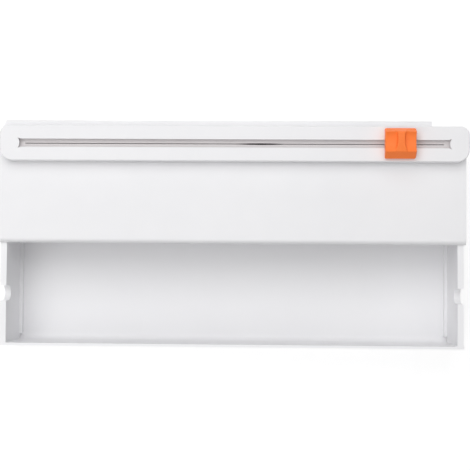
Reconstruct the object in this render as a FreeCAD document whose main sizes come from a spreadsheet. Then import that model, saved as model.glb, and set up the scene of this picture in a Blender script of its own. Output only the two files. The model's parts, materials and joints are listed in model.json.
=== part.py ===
"""Gift wrap paper cutter: an open roll tray, a deck, and a hinged rail with a sliding blade.

Millimetres. +X runs along the rail, +Y to the rear, +Z up. The origin is on the surface
that the feet stand on, in the middle of the cutter.
"""
import FreeCAD, Part
import math
import os
import re
import Sketcher

doc = FreeCAD.newDocument("wrap_cutter")

# Driving dimensions: name, value, meaning
SIZES = [
    ("tray_width", 370.6, "tray, end to end"),
    ("tray_wall", 2.3, "front wall, floor and rear wall"),
    ("tray_depth", 50.0, "tray floor to the top of its walls"),
    ("tray_bend", 5.0, "inside radius where the floor meets a wall"),
    ("compartment_length", 80.2, "front wall to the deck's front edge, inside"),
    ("rear_overhang", 9.4, "deck past the rear wall"),
    ("floor_lip_width", 2.5, "lip on the floor beside each end plate"),
    ("floor_lip_height", 6.0, "height of that lip"),
    ("plate_thick", 5.0, "end plate"),
    ("plate_inset", 0.5, "end plate inside the tray's end"),
    ("notch_width", 12.0, "spindle notch in an end plate"),
    ("notch_depth", 15.0, "depth of that notch"),
    ("notch_place", 39.6, "notch behind the front wall's inner face"),
    ("ledge_reach", 9.0, "ledge under the deck, inwards from an end plate"),
    ("ledge_thick", 2.5, "thickness of that ledge"),
    ("gusset_reach", 7.0, "gusset under the ledge"),
    ("gusset_thick", 2.0, "thickness of a gusset"),
    ("gusset_place", 12.0, "gusset from the ledge's end"),
    ("foot_height", 2.0, "gap under the tray"),
    ("foot_length", 24.0, "foot, along X"),
    ("foot_width", 12.0, "foot, along Y"),
    ("foot_socket", 1.0, "depth of a foot's socket in the floor"),
    ("foot_inset", 20.0, "foot from the tray's end and from its wall"),
    ("foot_edge", 0.6, "chamfer round the foot's sole"),
    ("deck_overlap", 0.7, "deck past each end of the tray"),
    ("deck_length", 97.9, "deck, front to rear"),
    ("deck_thick", 4.0, "deck's edge, top to underside"),
    ("deck_skin", 2.2, "deck between its ribs"),
    ("deck_rib", 2.0, "rib under the deck"),
    ("deck_roll", 3.8, "radius of the rolled front edge"),
    ("deck_round", 0.6, "round on the deck's other top edges"),
    ("lip_drop", 6.0, "front lip below the walls' top"),
    ("lip_thick", 2.2, "front lip"),
    ("lip_gap", 0.4, "front lip to an end plate"),
    ("bevel_side", 5.4, "cut-off rear left corner, along X"),
    ("bevel_rear", 9.0, "cut-off rear left corner, along Y"),
    ("finger_width", 27.0, "finger notch at the rear right, along X"),
    ("finger_depth", 9.0, "finger notch, along Y"),
    ("strip_width", 7.0, "cutting strip"),
    ("strip_thick", 2.2, "cutting strip"),
    ("strip_groove", 1.4, "width of the blade groove in the strip"),
    ("groove_depth", 1.4, "depth of that groove"),
    ("rail_left_gap", 2.4, "deck's left end to the rail"),
    ("rail_right_reach", 1.2, "rail past the deck's right end"),
    ("rail_width", 28.2, "rail, front to rear"),
    ("rail_height", 8.0, "top of the rail above the deck"),
    ("rail_setback", 4.9, "deck's rear edge to the rail"),
    ("rail_front_corner", 10.0, "front corners of the rail"),
    ("rail_rear_corner", 7.0, "rear corners of the rail"),
    ("rail_bevel", 0.7, "bevel on the rail's top edge"),
    ("cover_skin", 1.8, "rail cover over the channel"),
    ("skirt_thick", 1.8, "rail cover's side wall"),
    ("paper_gap", 0.6, "rail base above the deck"),
    ("skirt_gap", 1.1, "rail cover's side wall above the deck"),
    ("track_level", 4.0, "track in the rail above the deck"),
    ("channel_width", 12.0, "channel for the carriage under the cover"),
    ("slot_margin", 13.85, "rail's end to the slot"),
    ("slot_width", 6.5, "slot in the rail cover"),
    ("slot_flare", 1.0, "flared corner past the slot's edge"),
    ("slot_flare_run", 2.2, "length of a flared corner"),
    ("slot_bump", 1.6, "bulge of the slot's end into the slot"),
    ("slit_width", 0.6, "blade slit in the rail base"),
    ("slit_margin", 5.5, "slit's end inside the slot's end"),
    ("lens_length", 38.0, "opening of the slit"),
    ("lens_width", 1.4, "widest place of that opening"),
    ("lens_shift", 21.2, "middle of that opening from the middle of the rail"),
    ("pin_width", 2.0, "diameter of the hinge pin"),
    ("pin_length", 22.0, "hinge pin"),
    ("pin_fit", 0.04, "running fit round the hinge pin"),
    ("knuckle_width", 3.8, "diameter of the hinge knuckle"),
    ("knuckle_length", 10.0, "hinge knuckle along the pin"),
    ("knuckle_gap", 0.3, "knuckle to the rail"),
    ("bracket_thick", 1.5, "base of the hinge bracket"),
    ("bracket_reach", 10.0, "bracket base, inwards from the pin"),
    ("peg_width", 3.0, "diameter of the locating peg"),
    ("peg_height", 2.8, "locating peg above the deck"),
    ("peg_seat", 3.0, "locating peg in the deck"),
    ("peg_place", 8.0, "locating peg from the rail's right end"),
    ("peg_gap", 0.3, "locating peg to its socket"),
    ("carriage_back", 41.05, "slot's right end to the middle of the carriage"),
    ("shoe_length", 19.4, "neck of the carriage shoe, along X"),
    ("shoe_gap", 0.2, "neck to the slot's edge"),
    ("wing_length", 20.0, "wings of the shoe, along X"),
    ("wing_play", 0.25, "wings to the channel"),
    ("window_length", 10.2, "window for the blade holder"),
    ("window_step", 1.3, "wider foot of that window, each end"),
    ("window_roof", 3.1, "top of the wider foot above the track"),
    ("plate_size", 19.4, "carriage plate, along X"),
    ("plate_depth", 14.8, "carriage plate, along Y"),
    ("plate_height", 3.0, "carriage plate"),
    ("plate_lift", 0.15, "carriage plate above the rail"),
    ("well_width", 4.6, "spring well"),
    ("well_depth", 2.0, "spring well"),
    ("spring_side", 6.9, "spring from the middle, along X"),
    ("spring_rear", 4.6, "spring from the middle, along Y"),
    ("spring_width", 4.0, "outside diameter of a spring"),
    ("spring_wire", 0.5, "wire of a spring"),
    ("spring_curls", 3, "turns of a spring"),
    ("spring_gap", 0.1, "spring to its seats"),
    ("press_travel", 1.5, "travel of the cap"),
    ("cap_clear", 0.3, "pressed cap above the rail"),
    ("cap_length", 24.0, "cap, along X"),
    ("cap_depth", 23.8, "cap, along Y"),
    ("cap_height", 8.4, "cap, at its rims"),
    ("cap_ridge", 1.0, "finger ridge above the rear rim"),
    ("cap_front_foot", 1.8, "upright part of the front face"),
    ("cap_rear_foot", 2.6, "upright part of the rear face"),
    ("cap_front_slope", 4.8, "sloped front face, along Y"),
    ("cap_rear_slope", 3.5, "sloped rear face, along Y"),
    ("saddle_depth", 2.4, "finger scoop below the rims"),
    ("ridge_waist", 4.2, "finger ridge at its narrowest"),
    ("ridge_end", 8.5, "finger ridge at its ends"),
    ("ridge_draft", 12.0, "lean of the ridge's flanks, in degrees"),
    ("cap_edge", 1.0, "round on the cap's corners"),
    ("cavity_gap", 0.3, "carriage plate to the cap's hollow"),
    ("cavity_roof", 4.4, "height of the cap's hollow"),
    ("holder_length", 9.8, "blade holder's stem, along X"),
    ("holder_thick", 2.4, "blade holder's stem, along Y"),
    ("barb_length", 1.1, "stop barb of the holder, each end"),
    ("barb_height", 1.0, "height of a barb"),
    ("holder_flange", 1.2, "thickness of the holder's flange"),
    ("flange_length", 12.6, "holder's flange, along Y"),
    ("flange_width", 4.4, "holder's flange, along X"),
    ("blade_width", 9.0, "blade, along X"),
    ("blade_thick", 0.4, "blade"),
    ("blade_tip", 1.2, "flat of the blade's tip"),
    ("blade_rest", 0.9, "blade's tip above the deck at rest"),
    ("blade_shoulder", 5.2, "blade's tip to its shoulders"),
    ("blade_length", 10.6, "blade, tip to top"),
    ("blade_play", 0.05, "blade to the holder"),
    ("blade_grind", 0.14, "ground edge of the blade"),
    ("rivet_width", 1.6, "blade rivet"),
    ("rivet_place", 8.4, "rivet above the blade's tip"),
    ("thread_gap", 0.05, "screw to its hole"),
    ("plate_screw", 2.6, "end plate screw"),
    ("plate_screw_length", 14.0, "end plate screw"),
    ("plate_screw_place", 28.0, "end plate screw from a tray wall"),
    ("deck_screw", 2.6, "deck screw"),
    ("deck_screw_length", 5.2, "deck screw under its head"),
    ("screw_head", 5.0, "head of a deck screw or an end plate screw"),
    ("screw_cap", 1.5, "height of that head"),
    ("deck_screw_place", 26.0, "deck screw from the ledge's end"),
    ("rail_screw", 2.2, "rail screw"),
    ("rail_screw_length", 5.8, "rail screw"),
    ("rail_screw_end", 23.55, "end rail screw from the slot's end"),
    ("rail_screw_side", 9.4, "rail screw from the slot's middle"),
    ("hinge_screw", 2.0, "hinge bracket screw"),
    ("hinge_screw_length", 3.6, "hinge bracket screw"),
    ("hinge_screw_place", 6.4, "hinge screw from the pin"),
    ("hinge_screw_side", 2.6, "hinge screw from the rail's middle"),
    ("post_length", 1.8, "post of the shoe in the carriage plate, along X"),
    ("post_width", 3.6, "that post, along Y"),
    ("post_place", 8.15, "that post from the middle"),
    ("lug_side", 2.0, "lug of the blade holder in the cap"),
    ("lug_height", 1.6, "height of that lug"),
    ("lug_place", 4.6, "that lug from the middle"),
    ("overcut", 1.0, "cut past a face that it leaves open"),
]

# Sizes that follow from the others: name, formula, meaning
FOLLOWING = [
    ("deck_width", "=tray_width + 2 * deck_overlap", "deck, end to end"),
    ("rail_length", "=deck_width - rail_left_gap + rail_right_reach", "rail, end to end"),
    ("rail_offset", "=(rail_left_gap + rail_right_reach) / 2", "middle of the rail past the middle of the deck"),
    ("slot_length", "=rail_length - 2 * slot_margin", "slot in the rail cover"),
    ("slot_left", "=rail_offset - slot_length / 2", "left end of the slot"),
    ("slot_right", "=rail_offset + slot_length / 2", "right end of the slot"),
    ("carriage_place", "=slot_right - carriage_back", "middle of the carriage"),
    ("lens_place", "=rail_offset + lens_shift", "middle of the slit's opening"),
    ("rail_screw_pitch", "=slot_length / 2 - rail_screw_end", "pitch of the three rail screws"),
]

sheet = doc.addObject("Spreadsheet::Sheet", "sizes")
for row, (alias, content, meaning) in enumerate(SIZES + FOLLOWING, start=1):
    sheet.set("A%d" % row, alias)
    sheet.set("B%d" % row, str(content))
    sheet.set("C%d" % row, meaning)
    sheet.setAlias("B%d" % row, alias)
doc.recompute()
KNOWN = {entry[0] for entry in SIZES + FOLLOWING}

# Places that several pieces share, worked out from the sizes
REAR = "((tray_wall + compartment_length + deck_length) / 2)"
FRONT = "(-(tray_wall + compartment_length + deck_length) / 2)"
WALL_FRONT = f"({FRONT} + tray_wall)"
DECK_FRONT = f"({WALL_FRONT} + compartment_length)"
BODY_REAR = f"({REAR} - rear_overhang)"
WALL_REAR = f"({BODY_REAR} - tray_wall)"
FLOOR_TOP = "(foot_height + tray_wall)"
WALL_TOP = f"({FLOOR_TOP} + tray_depth)"
DECK_TOP = f"({WALL_TOP} + deck_thick)"
PLATE_OUTER = "(tray_width / 2 - plate_inset)"
PLATE_INNER = f"({PLATE_OUTER} - plate_thick)"
LEDGE_FRONT = f"({DECK_FRONT} + lip_thick + lip_gap)"
NOTCH_Y = f"({WALL_FRONT} + notch_place)"
RAIL_Y = f"({REAR} - rail_setback - rail_width / 2)"
RAIL_LEFT = "(rail_offset - rail_length / 2)"
RAIL_RIGHT = "(rail_offset + rail_length / 2)"
RAIL_UNDER = f"({DECK_TOP} + paper_gap)"
SKIRT_UNDER = f"({DECK_TOP} + skirt_gap)"
TRACK_Z = f"({DECK_TOP} + track_level)"
SKIN_UNDER = f"({DECK_TOP} + rail_height - cover_skin)"
RAIL_TOP = f"({DECK_TOP} + rail_height)"
PIVOT_X = f"({RAIL_LEFT} + track_level - paper_gap)"
PEG_X = f"({RAIL_RIGHT} - peg_place)"
PLATE_BOTTOM = f"({RAIL_TOP} + plate_lift)"
PLATE_TOP = f"({PLATE_BOTTOM} + plate_height)"
CAP_BOTTOM = f"({RAIL_TOP} + cap_clear + press_travel)"
CAVITY_TOP = f"({CAP_BOTTOM} + cavity_roof)"
TIP_Z = f"({DECK_TOP} + blade_rest)"
HOLDER_BOTTOM = f"({TRACK_Z} + press_travel + cap_clear)"


def linked(text):
    """Point every size's name in an expression at the sheet."""
    return re.sub(r"[a-z_]+", lambda m: "sizes." + m.group() if m.group() in KNOWN else m.group(), text)


def value(text):
    """The number that an expression has now."""
    return float(sheet.evalExpression(text))


def new_body(label):
    body = doc.addObject("PartDesign::Body", label)
    body.Label = label
    return body


def sketch_on(body, name, role, offset="0"):
    """A sketch on one of the body's own planes, moved along the plane's normal."""
    sketch = body.newObject("Sketcher::SketchObject", name)
    plane = [item for item in body.Origin.OriginFeatures if item.Role == role][0]
    sketch.AttachmentSupport = [(plane, "")]
    sketch.MapMode = "FlatFace"
    sketch.setExpression("AttachmentOffset.Base.z", linked(offset))
    return sketch


def held(sketch, geometry, point, across, up):
    """Hold a point of the sketch at two expressions."""
    for kind, text in (("DistanceX", across), ("DistanceY", up)):
        index = sketch.addConstraint(Sketcher.Constraint(kind, -1, 1, geometry, point, value(text)))
        sketch.setExpression("Constraints[%d]" % index, linked(text))


def outline(sketch, points):
    """Draw a closed outline. A point is (x, y), or (x, y, radius, turn) where an arc ends.

    The arc turns left for a turn of 1 and right for -1.
    """
    spots = [FreeCAD.Vector(value(point[0]), value(point[1]), 0) for point in points]
    ends = []
    for number, point in enumerate(points):
        start = spots[number - 1]
        end = spots[number]
        if len(point) == 2:
            geometry = sketch.addGeometry(Part.LineSegment(start, end), False)
            ends.append((geometry, 1, 2))
            continue
        radius = value(point[2])
        turn = point[3]
        chord = end - start
        side = FreeCAD.Vector(-chord.y, chord.x, 0).normalize() * turn
        height = math.sqrt(max(radius ** 2 - (chord.Length / 2) ** 2, 0))
        centre = (start + end) * 0.5 + side * height
        circle = Part.Circle(centre, FreeCAD.Vector(0, 0, 1), radius)
        first, last = (start, end) if turn > 0 else (end, start)
        angles = [math.atan2(spot.y - centre.y, spot.x - centre.x) for spot in (first, last)]
        geometry = sketch.addGeometry(Part.ArcOfCircle(circle, angles[0], angles[1]), False)
        index = sketch.addConstraint(Sketcher.Constraint("Radius", geometry, radius))
        sketch.setExpression("Constraints[%d]" % index, linked(point[2]))
        ends.append((geometry, 1, 2) if turn > 0 else (geometry, 2, 1))
    for number, point in enumerate(points):
        geometry, near, far = ends[number]
        following, entry, leave = ends[(number + 1) % len(points)]
        sketch.addConstraint(Sketcher.Constraint("Coincident", geometry, far, following, entry))
        held(sketch, geometry, far, point[0], point[1])


def rectangle(sketch, left, low, right, high):
    outline(sketch, [(left, low), (right, low), (right, high), (left, high)])


def circle(sketch, across, up, radius):
    centre = FreeCAD.Vector(value(across), value(up), 0)
    shape = Part.Circle(centre, FreeCAD.Vector(0, 0, 1), value(radius))
    geometry = sketch.addGeometry(shape, False)
    index = sketch.addConstraint(Sketcher.Constraint("Radius", geometry, value(radius)))
    sketch.setExpression("Constraints[%d]" % index, linked(radius))
    held(sketch, geometry, 3, across, up)


def pad(body, sketch, length, reverse=False):
    feature = body.newObject("PartDesign::Pad", sketch.Name + "_pad")
    feature.Profile = sketch
    feature.setExpression("Length", linked(length))
    feature.Reversed = reverse
    doc.recompute()
    return feature


def pocket(body, sketch, depth=None, reverse=False):
    """Cut a sketch into the body, all the way through where no depth is given."""
    before = body.Shape.Volume
    feature = body.newObject("PartDesign::Pocket", sketch.Name + "_pocket")
    feature.Profile = sketch
    if depth is None:
        feature.Type = "ThroughAll"
    else:
        feature.setExpression("Length", linked(depth))
    feature.Reversed = reverse
    doc.recompute()
    if body.Shape.Volume > before - 1e-6:
        raise RuntimeError(feature.Name + " cuts nothing")
    return feature


def revolve(body, sketch):
    """Turn a sketch round its own upright axis."""
    feature = body.newObject("PartDesign::Revolution", sketch.Name + "_turned")
    feature.Profile = sketch
    feature.ReferenceAxis = (sketch, ["V_Axis"])
    feature.Angle = 360
    doc.recompute()
    return feature


def edges_where(shape, test):
    return ["Edge%d" % number for number, edge in enumerate(shape.Edges, start=1) if test(edge)]


def rounded(body, size, test, kind="Fillet"):
    """Fillet or chamfer the edges of the body that pass a test."""
    tip = body.Tip
    names = edges_where(tip.Shape, test)
    feature = body.newObject("PartDesign::" + kind, "%s_%s_%d" % (body.Name, kind.lower(), len(body.Group)))
    feature.Base = (tip, names)
    feature.setExpression("Radius" if kind == "Fillet" else "Size", linked(size))
    doc.recompute()
    return feature


def copies(label, pattern, places, upside_down=False):
    """One node that holds a copy of the pattern's solid at each place."""
    part = doc.addObject("Part::Feature", label)
    part.Label = label
    solid = pattern.Shape
    if upside_down:
        solid = solid.rotated(FreeCAD.Vector(0, 0, 0), FreeCAD.Vector(1, 0, 0), 180)
    spots = [FreeCAD.Vector(*[value(text) for text in place]) for place in places]
    part.Shape = Part.makeCompound([solid.translated(spot) for spot in spots])
    return part


def level(edge, height):
    """Whether an edge lies flat at a height."""
    box = edge.BoundBox
    return abs(box.ZMin - height) < 0.01 and abs(box.ZMax - height) < 0.01


def upright(edge):
    box = edge.BoundBox
    return box.XLength < 0.01 and box.YLength < 0.01


# Tray: front wall, floor and rear wall in one, open at both ends
body_tray = new_body("body_tray")
section = sketch_on(body_tray, "tray_section", "YZ_Plane", "-tray_width / 2")
BEND_OUT = "(tray_bend + tray_wall)"
outline(section, [
    (FRONT, f"foot_height + {BEND_OUT}"),
    (f"{FRONT} + {BEND_OUT}", "foot_height", BEND_OUT, 1),
    (f"{BODY_REAR} - {BEND_OUT}", "foot_height"),
    (BODY_REAR, f"foot_height + {BEND_OUT}", BEND_OUT, 1),
    (BODY_REAR, WALL_TOP),
    (WALL_REAR, WALL_TOP),
    (WALL_REAR, f"{FLOOR_TOP} + tray_bend"),
    (f"{WALL_REAR} - tray_bend", FLOOR_TOP, "tray_bend", -1),
    (f"{WALL_FRONT} + tray_bend", FLOOR_TOP),
    (WALL_FRONT, f"{FLOOR_TOP} + tray_bend", "tray_bend", -1),
    (WALL_FRONT, WALL_TOP),
    (FRONT, WALL_TOP),
])
pad(body_tray, section, "tray_width")
for side, name in ((-1, "left"), (1, "right")):
    lip = sketch_on(body_tray, name + "_lip", "XY_Plane", FLOOR_TOP)
    near = f"{side} * {PLATE_INNER}"
    far = f"{side} * ({PLATE_INNER} - floor_lip_width)"
    left, right = (near, far) if side < 0 else (far, near)
    rectangle(lip, left, f"{WALL_FRONT} + tray_bend", right, f"{WALL_REAR} - tray_bend")
    pad(body_tray, lip, "floor_lip_height")
PLATE_SCREW_X = f"({PLATE_INNER} + plate_thick / 2)"
PLATE_SCREWS = [
    (f"{side} * {PLATE_SCREW_X}", place)
    for side in (-1, 1)
    for place in (f"{WALL_FRONT} + plate_screw_place", f"{WALL_REAR} - plate_screw_place")
]
FEET = [
    (f"{side} * (tray_width / 2 - foot_inset)", place)
    for side in (-1, 1)
    for place in (f"{FRONT} + foot_inset", f"{BODY_REAR} - foot_inset")
]
holes = sketch_on(body_tray, "plate_screw_holes", "XY_Plane", FLOOR_TOP)
for across, up in PLATE_SCREWS:
    circle(holes, across, up, "plate_screw / 2 + thread_gap")
pocket(body_tray, holes)
sockets = sketch_on(body_tray, "foot_sockets", "XY_Plane", "foot_height")
for across, up in FEET:
    rectangle(
        sockets,
        f"{across} - foot_length / 2",
        f"{up} - foot_width / 2",
        f"{across} + foot_length / 2",
        f"{up} + foot_width / 2",
    )
pocket(body_tray, sockets, "foot_socket", reverse=True)

# End plates: spindle notch, ledge under the deck with its gussets
LEDGE_UNDER = f"({WALL_TOP} - ledge_thick)"
DECK_SCREWS_Y = (f"{LEDGE_FRONT} + deck_screw_place", f"{WALL_REAR} - deck_screw_place")
DECK_SCREW_X = f"({PLATE_INNER} - ledge_reach / 2)"
PLATE_CORNER = "(tray_bend + 2 * thread_gap)"


def end_plate(label, side):
    body = new_body(label)
    face = f"{side} * {PLATE_OUTER}" if side < 0 else PLATE_INNER
    shape = sketch_on(body, label + "_shape", "YZ_Plane", face)
    outline(shape, [
        (WALL_FRONT, f"{FLOOR_TOP} + {PLATE_CORNER}"),
        (f"{WALL_FRONT} + {PLATE_CORNER}", FLOOR_TOP, PLATE_CORNER, 1),
        (f"{WALL_REAR} - {PLATE_CORNER}", FLOOR_TOP),
        (WALL_REAR, f"{FLOOR_TOP} + {PLATE_CORNER}", PLATE_CORNER, 1),
        (WALL_REAR, WALL_TOP),
        (f"{NOTCH_Y} + notch_width / 2", WALL_TOP),
        (f"{NOTCH_Y} + notch_width / 2", f"{WALL_TOP} - notch_depth + notch_width / 2"),
        (NOTCH_Y, f"{WALL_TOP} - notch_depth", "notch_width / 2", -1),
        (f"{NOTCH_Y} - notch_width / 2", f"{WALL_TOP} - notch_depth + notch_width / 2", "notch_width / 2", -1),
        (f"{NOTCH_Y} - notch_width / 2", WALL_TOP),
        (WALL_FRONT, WALL_TOP),
    ])
    pad(body, shape, "plate_thick")
    ledge = sketch_on(body, label + "_ledge", "XY_Plane", LEDGE_UNDER)
    near = f"{side} * ({PLATE_INNER} + plate_thick / 2)"
    far = f"{side} * ({PLATE_INNER} - ledge_reach)"
    left, right = (near, far) if side < 0 else (far, near)
    rectangle(ledge, left, LEDGE_FRONT, right, WALL_REAR)
    pad(body, ledge, "ledge_thick")
    for number, place in enumerate((f"{LEDGE_FRONT} + gusset_place", f"{WALL_REAR} - gusset_place")):
        gusset = sketch_on(body, "%s_gusset_%d" % (label, number), "XZ_Plane", f"-({place})")
        corner = [
            (f"{side} * ({PLATE_INNER} + plate_thick / 2)", f"{LEDGE_UNDER} - gusset_reach"),
            (f"{side} * {PLATE_INNER}", f"{LEDGE_UNDER} - gusset_reach"),
            (f"{side} * ({PLATE_INNER} - gusset_reach)", f"{LEDGE_UNDER} + ledge_thick / 2"),
            (f"{side} * ({PLATE_INNER} + plate_thick / 2)", f"{LEDGE_UNDER} + ledge_thick / 2"),
        ]
        outline(gusset, corner)
        pad(body, gusset, "gusset_thick")
    screw_holes = sketch_on(body, label + "_screw_holes", "XY_Plane", FLOOR_TOP)
    for across, up in PLATE_SCREWS[:2] if side < 0 else PLATE_SCREWS[2:]:
        circle(screw_holes, across, up, "plate_screw / 2 + thread_gap")
    pocket(body, screw_holes, "plate_screw_length - tray_wall + overcut", reverse=True)
    ledge_holes = sketch_on(body, label + "_ledge_holes", "XY_Plane", WALL_TOP)
    for place in DECK_SCREWS_Y:
        circle(ledge_holes, f"{side} * {DECK_SCREW_X}", place, "deck_screw / 2 + thread_gap")
    pocket(body, ledge_holes)
    return body


left_end_plate = end_plate("left_end_plate", -1)
right_end_plate = end_plate("right_end_plate", 1)

# Feet and the end plates' screws
foot = new_body("one_foot")
sole = sketch_on(foot, "foot_sole", "XY_Plane")
rectangle(sole, "-foot_length / 2", "-foot_width / 2", "foot_length / 2", "foot_width / 2")
pad(foot, sole, "foot_height + foot_socket")
rounded(foot, "foot_edge", lambda edge: level(edge, 0), "Chamfer")
rubber_feet = copies("rubber_feet", foot, [(across, up, "0") for across, up in FEET])


def sunk_screw(name, width, length):
    """A countersunk screw that stands on its head, its face at zero."""
    body = new_body(name)
    shape = sketch_on(body, name + "_section", "XZ_Plane")
    outline(shape, [
        ("0", "0"),
        (width, "0"),
        (f"{width} / 2", f"{width} / 2"),
        (f"{width} / 2", length),
        ("0", length),
    ])
    revolve(body, shape)
    return body


def headed_screw(name, width, length, head, cap):
    """A screw with a round head that hangs below zero."""
    body = new_body(name)
    shape = sketch_on(body, name + "_section", "XZ_Plane")
    outline(shape, [
        ("0", f"-({cap})"),
        (f"{head} / 2", f"-({cap})"),
        (f"{head} / 2", "0"),
        (f"{width} / 2", "0"),
        (f"{width} / 2", length),
        ("0", length),
    ])
    revolve(body, shape)
    return body


plate_screw = headed_screw("one_plate_screw", "plate_screw", "plate_screw_length", "screw_head", "screw_cap")
end_plate_screws = copies(
    "end_plate_screws", plate_screw, [(across, up, "foot_height") for across, up in PLATE_SCREWS]
)
deck_screw = headed_screw("one_deck_screw", "deck_screw", "deck_screw_length", "screw_head", "screw_cap")
DECK_SCREWS = [(f"{side} * {DECK_SCREW_X}", place) for side in (-1, 1) for place in DECK_SCREWS_Y]
deck_screws = copies("deck_screws", deck_screw, [(across, up, LEDGE_UNDER) for across, up in DECK_SCREWS])

# Deck: rolled front edge and lip, cut-off corner, finger notch, seats for the strip and the hinge
deck_cover = new_body("deck_cover")
section = sketch_on(deck_cover, "deck_section", "YZ_Plane", "-deck_width / 2")
outline(section, [
    (DECK_FRONT, WALL_TOP),
    (REAR, WALL_TOP),
    (REAR, f"{DECK_TOP} - deck_round"),
    (f"{REAR} - deck_round", DECK_TOP, "deck_round", 1),
    (f"{DECK_FRONT} + deck_roll", DECK_TOP),
    (DECK_FRONT, f"{DECK_TOP} - deck_roll", "deck_roll", 1),
])
pad(deck_cover, section, "deck_width")
lip = sketch_on(deck_cover, "deck_lip", "XY_Plane", f"{WALL_TOP} - lip_drop")
rectangle(lip, f"-({PLATE_INNER} - lip_gap)", DECK_FRONT, f"{PLATE_INNER} - lip_gap", f"{DECK_FRONT} + lip_thick")
pad(deck_cover, lip, "lip_drop + deck_thick - deck_roll")
finger = sketch_on(deck_cover, "finger_notch", "XY_Plane", DECK_TOP)
rectangle(
    finger,
    "deck_width / 2 - finger_width",
    f"{REAR} - finger_depth",
    "deck_width / 2 + overcut",
    f"{REAR} + overcut",
)
pocket(deck_cover, finger)
corner = sketch_on(deck_cover, "cut_corner", "XY_Plane", DECK_TOP)
outline(corner, [
    ("-deck_width / 2", f"{REAR} - bevel_rear"),
    ("-deck_width / 2 + bevel_side", REAR),
    ("-deck_width / 2 + bevel_side", f"{REAR} + overcut"),
    ("-deck_width / 2 - overcut", f"{REAR} + overcut"),
    ("-deck_width / 2 - overcut", f"{REAR} - bevel_rear"),
])
pocket(deck_cover, corner)
rounded(
    deck_cover,
    "lip_thick / 3",
    lambda edge: level(edge, value(f"{WALL_TOP} - lip_drop")) and edge.BoundBox.YLength < 0.01,
)
RIB_FIELD = f"({PLATE_INNER} - ledge_reach - deck_rib)"
RIB_COLUMNS = 5
ribs = sketch_on(deck_cover, "rib_fields", "XY_Plane", WALL_TOP)
for column in range(RIB_COLUMNS):
    start = f"-{RIB_FIELD} + {column} * (2 * {RIB_FIELD} + deck_rib) / {RIB_COLUMNS}"
    end = f"{start} + (2 * {RIB_FIELD} + deck_rib) / {RIB_COLUMNS} - deck_rib"
    rectangle(ribs, start, f"{DECK_FRONT} + deck_roll + deck_rib", end, f"{RAIL_Y} - strip_width / 2 - 2 * deck_rib")
pocket(deck_cover, ribs, "deck_thick - deck_skin", reverse=True)
seat = sketch_on(deck_cover, "strip_seat", "XY_Plane", DECK_TOP)
rectangle(
    seat,
    "slot_left - thread_gap",
    f"{RAIL_Y} - strip_width / 2 - thread_gap",
    "slot_right + thread_gap",
    f"{RAIL_Y} + strip_width / 2 + thread_gap",
)
rectangle(
    seat,
    f"{PIVOT_X} - knuckle_width / 2 - thread_gap",
    f"{RAIL_Y} - knuckle_length / 2 - thread_gap",
    f"{PIVOT_X} + bracket_reach + thread_gap",
    f"{RAIL_Y} + knuckle_length / 2 + thread_gap",
)
pocket(deck_cover, seat, "bracket_thick")
deeper = sketch_on(deck_cover, "strip_seat_floor", "XY_Plane", f"{DECK_TOP} - bracket_thick")
rectangle(
    deeper,
    "slot_left - thread_gap",
    f"{RAIL_Y} - strip_width / 2 - thread_gap",
    "slot_right + thread_gap",
    f"{RAIL_Y} + strip_width / 2 + thread_gap",
)
pocket(deck_cover, deeper, "strip_thick - bracket_thick")
fixing = sketch_on(deck_cover, "deck_fixing_holes", "XY_Plane", WALL_TOP)
for across, up in DECK_SCREWS:
    circle(fixing, across, up, "deck_screw / 2 + thread_gap")
pocket(deck_cover, fixing, "deck_screw_length - ledge_thick + thread_gap", reverse=True)
HINGE_SCREWS = [(f"{PIVOT_X} + hinge_screw_place", f"{RAIL_Y} + {side} * hinge_screw_side") for side in (-1, 1)]
top_holes = sketch_on(deck_cover, "deck_top_holes", "XY_Plane", f"{DECK_TOP}")
for across, up in HINGE_SCREWS:
    circle(top_holes, across, up, "hinge_screw / 2 + thread_gap")
circle(top_holes, PEG_X, RAIL_Y, "peg_width / 2 + thread_gap")
pocket(deck_cover, top_holes)

# Cutting strip with its blade groove
cutting_strip = new_body("cutting_strip")
bar = sketch_on(cutting_strip, "strip_bar", "XY_Plane", f"{DECK_TOP} - strip_thick")
rectangle(
    bar,
    "slot_left",
    f"{RAIL_Y} - strip_width / 2",
    "slot_right",
    f"{RAIL_Y} + strip_width / 2",
)
pad(cutting_strip, bar, "strip_thick")
groove = sketch_on(cutting_strip, "blade_groove", "YZ_Plane", "slot_right + overcut")
rectangle(
    groove,
    f"{RAIL_Y} - strip_groove / 2",
    f"{DECK_TOP} - groove_depth",
    f"{RAIL_Y} + strip_groove / 2",
    f"{DECK_TOP} + overcut",
)
pocket(cutting_strip, groove)

# Hinge: bracket sunk in the deck, its knuckle, its screws, and the pin that the rail holds
hinge_bracket = new_body("hinge_bracket")
base = sketch_on(hinge_bracket, "bracket_base", "XY_Plane", f"{DECK_TOP} - bracket_thick")
rectangle(
    base,
    f"{PIVOT_X} - knuckle_width / 2",
    f"{RAIL_Y} - knuckle_length / 2",
    f"{PIVOT_X} + bracket_reach",
    f"{RAIL_Y} + knuckle_length / 2",
)
pad(hinge_bracket, base, "bracket_thick")
knuckle = sketch_on(hinge_bracket, "knuckle", "XZ_Plane", f"-({RAIL_Y} + knuckle_length / 2)")
outline(knuckle, [
    (f"{PIVOT_X} - knuckle_width / 2", f"{DECK_TOP} - bracket_thick / 2"),
    (f"{PIVOT_X} + knuckle_width / 2", f"{DECK_TOP} - bracket_thick / 2"),
    (f"{PIVOT_X} + knuckle_width / 2", TRACK_Z),
    (PIVOT_X, f"{TRACK_Z} + knuckle_width / 2", "knuckle_width / 2", 1),
    (f"{PIVOT_X} - knuckle_width / 2", TRACK_Z, "knuckle_width / 2", 1),
])
pad(hinge_bracket, knuckle, "knuckle_length")
bore = sketch_on(hinge_bracket, "knuckle_bore", "XZ_Plane", f"-({RAIL_Y} - knuckle_length)")
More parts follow.
